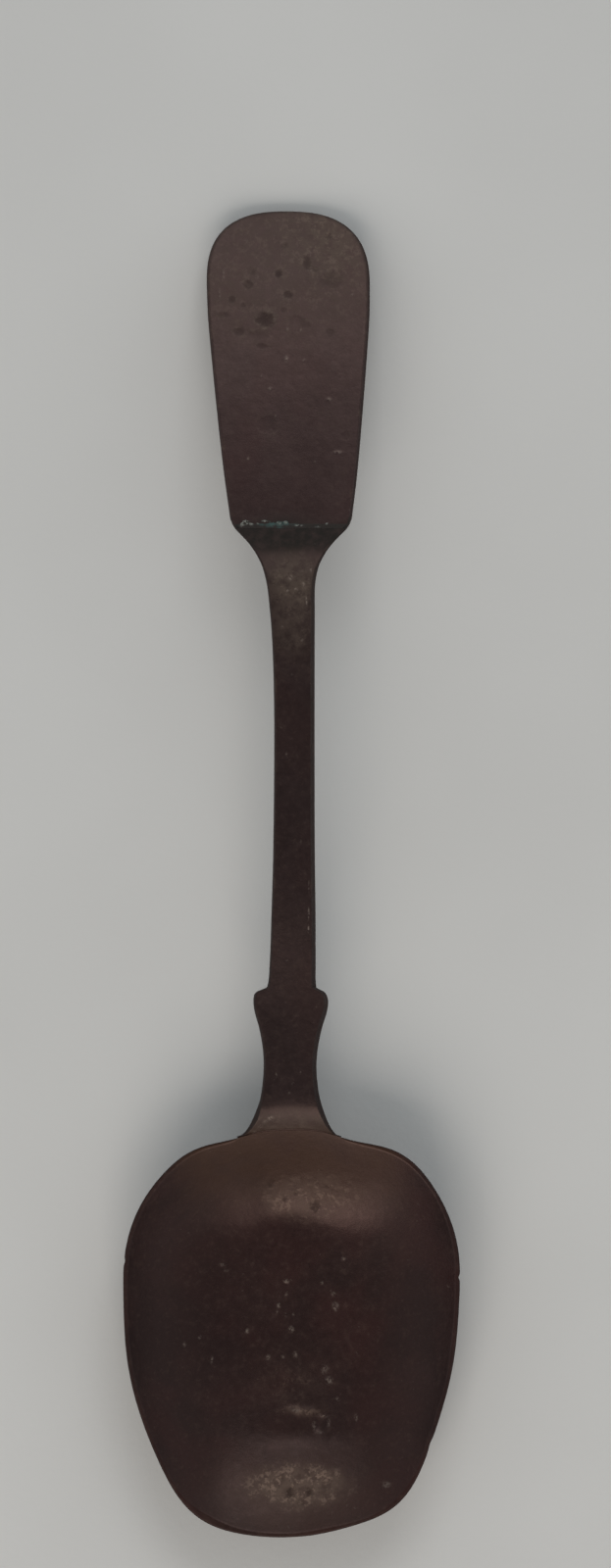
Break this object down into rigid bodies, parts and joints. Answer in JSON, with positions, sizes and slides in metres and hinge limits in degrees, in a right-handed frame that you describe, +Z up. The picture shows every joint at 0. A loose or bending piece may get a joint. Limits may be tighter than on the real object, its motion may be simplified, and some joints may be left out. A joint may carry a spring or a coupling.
{
  "type": "table spoon with fiddle-pattern handle",
  "caption": "Plain fiddle-pattern spoon in dark copper alloy: broad bowl, waisted neck with two lugs, flat shank and a wide handle plate, brazed together.",
  "frame": {"origin": "middle of the spoon's outline, on the surface that the spoon lies on", "axes": "+Y along the handle from the tip of the bowl to the end of the plate, +X to the right seen from above, +Z up out of the hollow of the bowl"},
  "size_m": [0.0342, 0.135, 0.0123],
  "materials": {
    "bowl_bronze": "dark brown patina, satin, speckled and worn at the tip",
    "stem_bronze": "dark brown patina, satin, worn along its edges",
    "plate_bronze": "brown patina, satin, pitted",
    "braze_filler": "dull, slightly lighter than the spoon",
    "verdigris_filler": "dull, greenish, with pale flecks"
  },
  "bodies": {
    "root": {"bowl": "bowl_bronze", "stem": "stem_bronze", "fiddle_plate": "plate_bronze", "bowl_braze": "braze_filler", "plate_braze": "verdigris_filler"}
  },
  "joints": []
}
